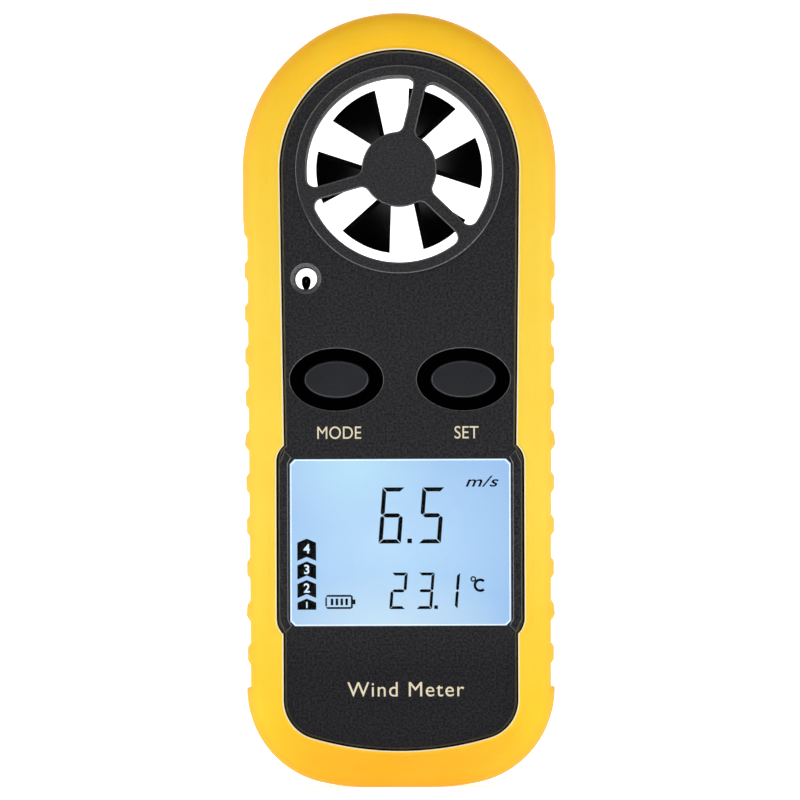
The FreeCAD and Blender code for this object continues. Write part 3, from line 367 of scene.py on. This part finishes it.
LOOKS = {
    # painted shade: the airway's wall is a darker, duller copy of the guard's black plastic
    "vane_duct": moulded("duct_abs_painted_shade", colour(10, 10, 11), colour(14, 14, 15), 0.25, 0.015, (0.5, 0.6),
                         0.06, 0.15),
    "silicone": silicone(),
    # the case gets painted shade in its wells and a dimmer foot
    "case_plastic": moulded("case_abs", colour(15, 15, 18), colour(19, 19, 23), 0.3, 0.12, shine=0.25,
                            speckle=0.9, painted_well_shade=(7.3, 8.0), polish=2.4, painted_foot_shade=(16, 24)),
    "guard_plastic": moulded("guard_abs", colour(20, 20, 22), colour(25, 25, 28), 0.26, 0.06, (0.36, 0.48),
                             0.12, 0.32, speckle=0.7, polish=3.0),
    "rotor_plastic": moulded("rotor_nylon", colour(4, 4, 4), colour(7, 7, 7), 0.3, 0.006, (0.6, 0.7),
                             0.05, 0.05),
    # the keys' skirts down in their wells get painted shade
    "key_plastic": moulded("key_abs", colour(16, 18, 22), colour(21, 23, 28), 0.16, 0.006, (0.38, 0.5), 0.1,
                           0.25, painted_well_shade=(7.2, 7.9), polish=1.2),
    "cap_plastic": moulded("cap_abs", colour(38, 39, 41), colour(46, 47, 50), 0.25, 0.012, (0.4, 0.54), 0.1),
    "clear_window": clear_window(),
    "display_glass": lit_display(),
    "frame_white": plain("frame_pbt", colour(228, 228, 222), 0.4, 0.55),
    "backlight": plain("light_guide", colour(214, 236, 250), 0.2, 0.3, Emission_Strength=0.2),
    "lamp": plain("lamp_resin", colour(232, 240, 250), 0.1, 0.2),
    "connector_rubber": plain("connector_elastomer", colour(196, 150, 160), 0.6, 0.75, 0.5),
    "board_green": board(),
    "chip_epoxy": plain("chip_epoxy", colour(22, 22, 24), 0.35, 0.6, 0.6),
    "capacitor_ceramic": plain("capacitor_ceramic", colour(168, 132, 92), 0.3, 0.5, 0.4),
    "bead_black": plain("bead_glass", colour(8, 8, 9), 0.06, 0.14, 0.8, 0.003, Coat_Weight=0.6),
    "cell_steel": metal("cell_steel", colour(214, 214, 212), 0.2, 0.38, (1, 1, 1)),
    "contact_nickel": metal("contact_nickel", colour(212, 206, 190), 0.2, 0.35),
    "switch_steel": metal("switch_steel", colour(196, 196, 194), 0.25, 0.4),
    "switch_black": plain("switch_pbt", colour(20, 20, 21), 0.4, 0.55),
    "bearing_brass": metal("bearing_brass", colour(214, 172, 92), 0.18, 0.3, (1, 14, 1)),
    "shaft_steel": metal("shaft_steel", colour(206, 206, 208), 0.12, 0.22, (1, 14, 1)),
    "magnet_nickel": metal("magnet_nickel", colour(206, 204, 198), 0.08, 0.18),
    "seal_rubber": plain("seal_rubber", colour(18, 18, 18), 0.5, 0.7),
    "screw_steel": metal("screw_steel", colour(70, 70, 73), 0.3, 0.45, (1, 1, 1)),
}


def dress_nodes():
    """Give every CAD node the look of its material slot and shade its curved faces smooth."""
    slots = {entry["node"]: entry["material_slot"] for entry in frame["record"]["subparts"]}
    for name, thing in nodes.items():
        thing.data.materials.clear()
        thing.data.materials.append(LOOKS.get(name) or LOOKS[slots[name]])
        weld = thing.modifiers.new("weld", "WELD")
        weld.merge_threshold = mm(0.0005)
        split = thing.modifiers.new("edges", "EDGE_SPLIT")
        split.split_angle = math.radians(32)
        for polygon in thing.data.polygons:
            polygon.use_smooth = True


# ---------------------------------------------------------------- making pieces

def new_piece(name, mesh, look, body="case"):
    """Link a mesh as a named piece that moves with a CAD body."""
    piece = bpy.data.objects.new(name, mesh)
    bpy.context.scene.collection.objects.link(piece)
    if look is not None:
        mesh.materials.append(look)
    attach(piece, body)
    return piece


def shade_smooth(mesh):
    for polygon in mesh.polygons:
        polygon.use_smooth = True


# ---------------------------------------------------------------- boot

BOOT_TAPER = 0.45                        # each side is this much narrower at the foot
CORNER_RADIUS, FOOT_RADIUS, FOOT_HALF = 13.0, 30.0, 4.5
EDGE_RADIUS = 3.0
SKIN = 1.45                              # the thinnest wall, where the sleeve wraps the case
LIP_UNDER = 6.75                         # the lips' undersides, from the parting plane
NOTCH_COUNT, NOTCH_PITCH, NOTCH_FIRST_Z = 11, 5.77, 73.0
NOTCH_DEPTH, NOTCH_FLOOR, NOTCH_SLOPE = 0.52, 2.7, 0.85
WINDOW_RADIUS, WINDOW_WAIST, WINDOW_WIDE, WINDOW_LOW = 16.25, 15.75, 16.8, 15.9
WINDOW_BOTTOM, WINDOW_FOOT_RADIUS, WINDOW_CORNER_RADIUS = 4.95, 42.0, 5.4
BAND_BEND = 3.0                          # the arcs by which the window widens beside the display
BAND_LOW = ((WINDOW_LOW, 20.8), (WINDOW_WIDE, 23.0))
BAND_TOP = ((WINDOW_WIDE, 44.2), (WINDOW_WAIST, 46.4))
LEVEL_FROM = 20.3                        # above this the window's points lie level with the outline's


def arc(centre, radius, start, end, count):
    """Points of an arc between two angles in degrees, both ends included."""
    angles = [math.radians(start + (end - start) * step / count) for step in range(count + 1)]
    return [(centre[0] + radius * math.cos(angle), centre[1] + radius * math.sin(angle)) for angle in angles]


def foot_arcs(start, bottom, foot_radius, corner_radius, side, count):
    """A shallow foot arc and the corner arc, tangent to it and to the straight side."""
    shrink = foot_radius - corner_radius
    across = side - corner_radius - start
    drop = math.sqrt(shrink ** 2 - across ** 2)
    turn = math.degrees(math.atan2(-drop, across))
    foot = arc((start, bottom + foot_radius), foot_radius, -90, turn, count)
    corner = arc((side - corner_radius, bottom + foot_radius - drop), corner_radius, turn, 0, 26)
    return foot, corner


def tapered(point):
    """Narrow the boot's outline towards the foot."""
    across, up = point
    share = max(0.0, min(1.0, (VANE_Z - up) / VANE_Z))
    return across * (1 - BOOT_TAPER / SIDE * share), up


def bend(start, end, up):
    """How far out the arc from start to end is at a height; it bulges away from the middle."""
    start, end = Vector(start), Vector(end)
    along = end - start
    left = Vector((-along.y, along.x)) / along.length
    centre = (start + end) / 2 + left * math.sqrt(BAND_BEND ** 2 - along.length_squared / 4)
    return centre.x + math.sqrt(BAND_BEND ** 2 - (up - centre.y) ** 2)


def window_side(up, band, start):
    """Half the window's width at a height on its side, which starts at a height."""
    if not band:
        share = (up - start) / (VANE_Z - start)
        return WINDOW_LOW + share * (WINDOW_RADIUS - WINDOW_LOW)
    if up <= BAND_LOW[0][1]:
        return WINDOW_LOW
    if up < BAND_LOW[1][1]:
        return bend(*BAND_LOW, up)
    if up <= BAND_TOP[0][1]:
        return WINDOW_WIDE
    if up < BAND_TOP[1][1]:
        return bend(*BAND_TOP, up)
    share = (up - BAND_TOP[1][1]) / (VANE_Z - BAND_TOP[1][1])
    return WINDOW_WAIST + share * (WINDOW_RADIUS - WINDOW_WAIST)


def side_heights(start):
    """Heights along the side, close together where a notch's flank or a band's corner is."""
    flank = NOTCH_FLOOR / 2
    offsets = [0, flank - 0.25, flank - 0.06, flank + 0.08, flank + 0.25, flank + 0.42,
               flank + 0.56, flank + 0.75]
    heights = {start, VANE_Z}
    for index in range(NOTCH_COUNT):
        centre = NOTCH_FIRST_Z - index * NOTCH_PITCH
        heights.update(round(centre + side * offset, 3) for offset in offsets for side in (-1, 1))
    plain_from = NOTCH_FIRST_Z + 4
    heights.update(round(plain_from + step * (VANE_Z - plain_from) / 5, 3) for step in range(5))
    for (_, low), (_, high) in (BAND_LOW, BAND_TOP):
        heights.update(round(low + (high - low) * step / 6, 3) for step in range(-1, 8))
    return sorted(up for up in heights if start <= up <= VANE_Z)


def smoothstep(value):
    share = max(0.0, min(1.0, value))
    return share * share * (3 - 2 * share)


def notch_depth(up):
    """How far the grip is cut in at a height."""
    nearest = min(abs(up - (NOTCH_FIRST_Z - index * NOTCH_PITCH)) for index in range(NOTCH_COUNT))
    return NOTCH_DEPTH * (1 - smoothstep((nearest - NOTCH_FLOOR / 2) / NOTCH_SLOPE))


def boot_columns():
    """(outer point, front window point, back window point, notch depth) round the whole boot."""
    foot, corner = foot_arcs(FOOT_HALF, 0, FOOT_RADIUS, CORNER_RADIUS, SIDE, 12)
    foot = [(FOOT_HALF * step / 4, 0.0) for step in range(4)] + foot
    window_bottom, window_corner = foot_arcs(0, WINDOW_BOTTOM, WINDOW_FOOT_RADIUS, WINDOW_CORNER_RADIUS,
                                             WINDOW_LOW, len(foot) - 1)
    right = [(tapered(outer), inner, inner, 0.0) for outer, inner in zip(foot[:-1], window_bottom[:-1])]
    right += [(tapered(outer), inner, inner, 0.0) for outer, inner in zip(corner, window_corner)]
    start, window_start = corner[-1][1], window_corner[-1][1]
    for up in side_heights(start)[1:]:
        share = min(1.0, (up - start) / (LEVEL_FROM - start))
        level = up - (start - window_start) * (1 - share)
        right.append((tapered((SIDE, up)), (window_side(level, True, window_start), level),
                      (window_side(level, False, window_start), level), notch_depth(up)))
    head = zip(arc((0, VANE_Z), SIDE, 0, 90, 44), arc((0, VANE_Z), WINDOW_RADIUS, 0, 90, 44))
    right += [(outer, inner, inner, 0.0) for outer, inner in list(head)[1:]]
    left = [(mirror(outer), mirror(front), mirror(back), depth)
            for outer, front, back, depth in right[-2:0:-1]]
    return right + left


def mirror(point):
    return -point[0], point[1]


BEAD_SINK = 0.06                         # the lip's inner edge is this much below its crown
BEAD = ((0.02, 0.07), (0.09, 0.0), (0.2, 0.0), (0.3, 0.05), (0.42, 0.1), (0.6, 0.09), (0.85, 0.03),
        (1.1, 0.0))
# the bead's points carry the painted highlight of the lip's inner edge
BEAD_PLACES = range(1, 4)                # the section's points on the bead, after its two inner ones


def boot_section(width, depth, face):
    """One lip and its rounded edge: (distance out from the window, distance from the parting plane)."""
    lip = [(0.0, face - 1.6), (0.0, face - 0.3)]
    lip += [(out, face - BEAD_SINK - down) for out, down in BEAD]
    crown = BEAD[-1][0]
    flat_end = width - EDGE_RADIUS
    lip += [(crown + (flat_end - crown) * share, face - BEAD_SINK * (1 - smoothstep(share * 2)))
            for share in (0.12, 0.25, 0.5, 0.75)]
    for step in range(11):
        angle = math.radians(90 * step / 10)
        lip.append((flat_end + EDGE_RADIUS * math.sin(angle), face - EDGE_RADIUS * (1 - math.cos(angle))))
    lip += [(width, (face - EDGE_RADIUS) * step / 3) for step in (2, 1)]
    soft = 0.18
    limit = width - depth
    return [(limit - soft * math.log1p(math.exp((limit - out) / soft)) if depth else out, level)
            for out, level in lip]


def make_boot():
    """The sleeve as one closed skin: lips, rounded edges, notched sides and the hollow for the case."""
    build = bmesh.new()
    edge = build.verts.layers.float.new("lip_painted_highlight")
    rings = []
    for outer, front, back, depth in boot_columns():
        ring = []
        for sign, window, face in ((1, front, -FRONT), (-1, back, BACK)):
            reach = Vector(outer) - Vector(window)
            way = reach.normalized()
            section = boot_section(reach.length, depth, face)
            inner = [(0.0, LIP_UNDER), (reach.length - SKIN, LIP_UNDER)]
            points = inner[::-1] + section
            placed = [build.verts.new(mm(window[0] + way.x * out, -sign * level, window[1] + way.y * out))
                      for out, level in points]
            # mark the bead's points for the painted highlight
            for place in BEAD_PLACES:
                placed[len(inner) + place][edge] = 1.0
            ring += placed if sign == 1 else placed[::-1]
        rings.append(ring)
    for ring, following in zip(rings, rings[1:] + rings[:1]):
        for index in range(len(ring)):
            after = (index + 1) % len(ring)
            build.faces.new((ring[index], ring[after], following[after], following[index]))
    bmesh.ops.recalc_face_normals(build, faces=build.faces)
    mesh = bpy.data.meshes.new("boot_skin")
    build.to_mesh(mesh)
    build.free()
    shade_smooth(mesh)
    piece = new_piece("boot_skin", mesh, LOOKS["silicone"])
    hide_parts("boot")
    return piece


# ---------------------------------------------------------------- display marks

SEGMENTS = {"0": "abcdef", "1": "bc", "2": "abged", "3": "abgcd", "5": "afgcd", "6": "afgcde"}
SLANT = 0.077
MARK_THICKNESS = 0.02
LENS_FLANGE, LENS_CORNER, RIM_WIDTH = 0.61, 0.65, 0.17


def flat_mesh(name, shapes, level):
    """Thin plates from closed (across, up) outlines, standing out towards -Y from a level."""
    build = bmesh.new()
    for shape in shapes:
        rims = [[build.verts.new(mm(across, depth, up)) for across, up in shape]
                for depth in (level, level - MARK_THICKNESS)]
        build.faces.new(rims[0])
        build.faces.new(rims[1][::-1])
        for index in range(len(shape)):
            after = (index + 1) % len(shape)
            build.faces.new((rims[0][after], rims[0][index], rims[1][index], rims[1][after]))
    bmesh.ops.recalc_face_normals(build, faces=build.faces)
    mesh = bpy.data.meshes.new(name)
    build.to_mesh(mesh)
    build.free()
    return mesh


def segment_shapes(digit, left, low, wide, tall, stroke):
    """The lit segments of a slanted seven-segment digit, with mitred ends and small gaps."""
    gap = stroke * 0.13
    half = tall / 2
    near, far = stroke + gap, wide - stroke - gap
    bars = {
        "a": [(gap, tall), (wide - gap, tall), (far, tall - stroke), (near, tall - stroke)],
        "d": [(gap, 0), (near, stroke), (far, stroke), (wide - gap, 0)],
        "g": [(stroke / 2 + gap, half), (near, half + stroke / 2), (far, half + stroke / 2),
              (wide - stroke / 2 - gap, half), (far, half - stroke / 2), (near, half - stroke / 2)],
        "f": [(0, tall - gap), (stroke, tall - near), (stroke, half + stroke / 2 + gap),
              (stroke / 2, half + gap), (0, half + stroke / 2)],
        "e": [(0, gap), (0, half - stroke / 2), (stroke / 2, half - gap), (stroke, half - stroke / 2 - gap),
              (stroke, near)],
    }
    bars["b"] = [(wide - across, up) for across, up in bars["f"]]
    bars["c"] = [(wide - across, up) for across, up in bars["e"]]
    return [[(left + across + SLANT * up, low + up) for across, up in bars[bar]] for bar in SEGMENTS[digit]]


def block(left, low, right, high):
    return [(left, low), (right, low), (right, high), (left, high)]


# each line of digits: its foot, a digit's width, height and stroke, and each digit's left edge
READINGS = ((33.05, 3.05, 7.6, 0.56, {"6": -3.0, "5": 2.42}),
            (24.15, 2.15, 4.95, 0.4, {"2": -1.55, "3": 2.1, "1": 5.55}))
POINTS = ((0.93, 33.08, 0.62), (4.55, 24.15, 0.5))


def reading_shapes():
    """The wind speed and the temperature."""
    shapes = [block(left, low, left + size, low + size) for left, low, size in POINTS]
    for low, wide, tall, stroke, digits in READINGS:
        for digit, left in digits.items():
            shapes += segment_shapes(digit, left, low, wide, tall, stroke)
    return shapes


BLOCK_LEFT, BLOCK_RIGHT, BLOCK_RISE = -14.0, -11.45, 0.55
BLOCKS = {"4": (33.75, 30.72), "3": (30.66, 28.2), "2": (28.14, 25.68), "1": (25.62, 24.1)}


def block_shapes():
    """Four arrow-headed blocks in a column; the lowest has a flat base."""
    centre = (BLOCK_LEFT + BLOCK_RIGHT) / 2
    shapes = []
    for word, (high, low) in BLOCKS.items():
        base = [(BLOCK_LEFT, low), (centre, low + (BLOCK_RISE if word != "1" else 0)), (BLOCK_RIGHT, low)]
        top = [(BLOCK_RIGHT, high - BLOCK_RISE), (centre, high), (BLOCK_LEFT, high - BLOCK_RISE)]
        shapes.append((base if word != "1" else [base[0], base[2]]) + top)
    return shapes


def battery_shapes():
    """A battery outline lying on its side with a nub and four charge bars."""
    left, right, low, high, stroke = -10.2, -6.75, 24.2, 26.1, 0.26
    nub = right + stroke
    shapes = [
        [(left + 0.25, high), (left + 0.05, high - stroke), (right, high - stroke), (right, high)],
        [(left + 0.25, low), (right, low), (right, low + stroke), (left + 0.05, low + stroke)],
        [(right, low), (nub, low + 0.2), (nub, high - 0.2), (right, high)],
        block(nub, low + 0.62, nub + 0.35, high - 0.62),
        block(left - 0.02, low + 0.35, left + 0.2, high - 0.35),
    ]
    for index in range(4):
        near = left + 0.72 + index * 0.66
        shapes.append(block(near, low + 0.5, near + 0.34, high - 0.5))
    return shapes


def ring_shapes(across, up, radius, stroke, start, end, count):
    """A ring, or part of one, as flat tiles."""
    outer = arc((across, up), radius, start, end, count)
    inner = arc((across, up), radius - stroke, start, end, count)
    return [[outer[step], outer[step + 1], inner[step + 1], inner[step]] for step in range(count)]


def lettering(name, text, look, size, across, up, level, slant=0.0, weight=0.0, spacing=1.0,
              stretch=1.0):
    """Generic lettering as a thin plate, centred on a point and facing -Y.

    size: the capitals' height
    """
    curve = bpy.data.curves.new(name, "FONT")
    curve.body = text
    curve.align_x = "CENTER"
    curve.align_y = "CENTER"
    curve.size = mm(size) / 0.72
    curve.shear = slant
    curve.offset = mm(weight)
    curve.space_character = spacing
    curve.extrude = mm(MARK_THICKNESS) / 2
    curve.resolution_u = 6
    piece = bpy.data.objects.new(name, curve)
    bpy.context.scene.collection.objects.link(piece)
    bpy.context.view_layer.update()
    mesh = bpy.data.meshes.new_from_object(piece)
    bpy.data.objects.remove(piece)
    mesh.transform(Matrix.Rotation(math.radians(90), 4, "X") @ Matrix.Diagonal((stretch, 1, 1, 1)))
    low = [min(vertex.co[axis] for vertex in mesh.vertices) for axis in range(3)]
    high = [max(vertex.co[axis] for vertex in mesh.vertices) for axis in range(3)]
    centre = Vector([(first + last) / 2 for first, last in zip(low, high)])
    mesh.transform(Matrix.Translation(mm(across, level, up) - centre))
    mesh.name = name
    mesh.materials.clear()
    return new_piece(name, mesh, look)


def make_display():
    """Segments, unit marks, level blocks and battery mark on the display glass."""
    dark = ink("segment_ink", colour(5, 6, 8))
    bright = ink("segment_light", colour(206, 226, 240), 0.7)
    level = GLASS_Y - 0.01
    shapes = reading_shapes() + block_shapes() + battery_shapes()
    shapes += ring_shapes(9.85, 28.2, 0.4, 0.2, 0, 360, 12)
    shapes += ring_shapes(10.8, 27.35, 0.92, 0.36, 48, 312, 14)
    new_piece("display_marks", flat_mesh("display_marks", shapes, level), dark)
    lettering("speed_unit", "m/s", dark, 1.5, 11.1, 41.45, level, 0.3, 0.02, 1.05, 1.42)
    for word, (high, low) in BLOCKS.items():
        size, lift = (0.8, -0.1) if word == "1" else (1.25, 0.15)
        lettering("level_" + word, word, bright, size, (BLOCK_LEFT + BLOCK_RIGHT) / 2,
                  (high + low) / 2 + lift, level - 0.03, weight=0.04)


def make_painted_lens_highlight():
    """A thin pale glowing line round the lens's cut edge: a painted highlight."""
    low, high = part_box("lcd_window")
    side, level = high.x / MILLIMETRE - LENS_FLANGE, low.y / MILLIMETRE
    tall = (high.z - low.z) / 2 / MILLIMETRE - LENS_FLANGE
    rims = []
    for inset in (0.0, RIM_WIDTH):
        wide, rise, cut = side - inset, tall - inset, LENS_CORNER - inset * 0.4
        corners = [(wide - cut, -rise), (wide, cut - rise), (wide, rise - cut), (wide - cut, rise)]
        corners += [(-across, up) for across, up in corners[::-1]]
        rims.append([(across, DISPLAY_Z + up) for across, up in corners])
    outer, inner = rims
    tiles = [[outer[index - 1], outer[index], inner[index], inner[index - 1]] for index in range(8)]
    # painted highlight: pale ink that glows a little
    pale = ink("lens_highlight_ink", colour(226, 240, 248), 0.35)
    new_piece("painted_lens_highlight", flat_mesh("painted_lens_highlight", tiles, level), pale)


def make_labels():
    """Pale key labels and a generic name of the instrument under the display."""
    pale = ink("label_ink", colour(233, 222, 192))
    face = FACE_Y - 0.012
    lettering("mode_label", "MODE", pale, 1.75, -8.25, 48.1, face, spacing=1.02, stretch=0.88)
    lettering("set_label", "SET", pale, 1.75, 9.0, 48.1, face, spacing=1.02, stretch=0.88)
    lettering("instrument_label", "Wind Meter", pale, 2.05, 0.65, 13.3, face, spacing=1.12)


# ---------------------------------------------------------------- stage, light and camera

CAMERA_DISTANCE = 2.2
CAMERA_ROLL = 0.2                        # degrees
FRAME_HEIGHT = 108.8                     # what the picture shows at the object's middle, top to bottom
CAMERA_X, CAMERA_Z = 0.0, 52.5
STAGE_DIM, STAGE_GLOW = 0.1, 0.67


def make_stage():
    """A pale floor that curves up into a round wall, darker on the display's side."""
    floor, curve, top, count = 2.5, 0.6, 2.6, 96
    path = [(floor * step / 8, 0.0) for step in range(1, 9)]
    path += [(floor + curve * math.sin(angle), curve * (1 - math.cos(angle)))
             for angle in (math.radians(90 * step / 10) for step in range(1, 11))]
    path.append((floor + curve, top))
    build = bmesh.new()
    turns = [2 * math.pi * step / count for step in range(count)]
    rings = [[build.verts.new((out * math.cos(turn), out * math.sin(turn), up)) for turn in turns]
             for out, up in path]
    build.faces.new(rings[0])
    for ring, following in zip(rings, rings[1:]):
        for index in range(count):
            after = (index + 1) % count
            build.faces.new((ring[index], following[index], following[after], ring[after]))
    mesh = bpy.data.meshes.new("studio_bowl")
    build.to_mesh(mesh)
    build.free()
    shade_smooth(mesh)
    look = Look("studio_paper", Roughness=0.9)
    look.paint(look.ramp(look.noise(30, 3), (0.3, (0.9, 0.9, 0.9, 1)), (0.7, (0.93, 0.93, 0.93, 1))))
    glow = look.ramp(look.along("Y", -220, -85), (0.0, STAGE_DIM), (1.0, 1.0))
    look.link(glow, look.shader.inputs["Emission Color"])
    look.shader.inputs["Emission Strength"].default_value = STAGE_GLOW
    mesh.materials.append(look.material)
    bowl = bpy.data.objects.new("studio_bowl", mesh)
    bpy.context.scene.collection.objects.link(bowl)


# each light: its place in metres, its width and height, and its power
LIGHTS = {
    "key": ((-0.1, -0.75, 0.8), (0.6, 0.5), 1.5),
    "fill_right": ((0.85, -0.3, 0.25), (0.3, 0.6), 0.35),
    "fill_left": ((-0.85, -0.3, 0.25), (0.3, 0.6), 0.43),
    "rear": ((0.0, 0.8, 0.7), (0.7, 0.4), 0.6),
}
LIGHTS_AIM = Vector((0, 0, 0.055))
SKY = 0.38


def make_light():
    """Even studio light: a broad front key from above, two side fills and a little from behind."""
    for name, (place, size, power) in LIGHTS.items():
        lamp = bpy.data.lights.new(name, "AREA")
        lamp.shape = "RECTANGLE"
        lamp.size, lamp.size_y = size
        lamp.energy = power
        holder = bpy.data.objects.new(name, lamp)
        holder.location = place
        holder.rotation_euler = (LIGHTS_AIM - Vector(place)).to_track_quat("-Z", "Y").to_euler()
        bpy.context.scene.collection.objects.link(holder)
    world = bpy.data.worlds.new("studio_air")
    world.use_nodes = True
    world.node_tree.nodes["Background"].inputs["Color"].default_value = (1, 1, 1, 1)
    world.node_tree.nodes["Background"].inputs["Strength"].default_value = SKY
    bpy.context.scene.world = world


def make_camera():
    """Straight at the display from far enough that both ends of the airway line up."""
    sight = bpy.data.cameras.new("camera")
    sight.sensor_width = 36.0
    sight.lens = sight.sensor_width * CAMERA_DISTANCE / mm(FRAME_HEIGHT)
    sight.clip_end = 20.0
    holder = bpy.data.objects.new("camera", sight)
    holder.location = (mm(CAMERA_X), -CAMERA_DISTANCE, mm(CAMERA_Z))
    holder.rotation_euler = (math.radians(90), math.radians(CAMERA_ROLL), 0)
    bpy.context.scene.collection.objects.link(holder)
    bpy.context.scene.camera = holder
    bpy.context.scene.view_settings.view_transform = "Standard"


dress_nodes()
make_boot()
make_display()
make_painted_lens_highlight()
make_labels()
make_stage()
make_light()
make_camera()
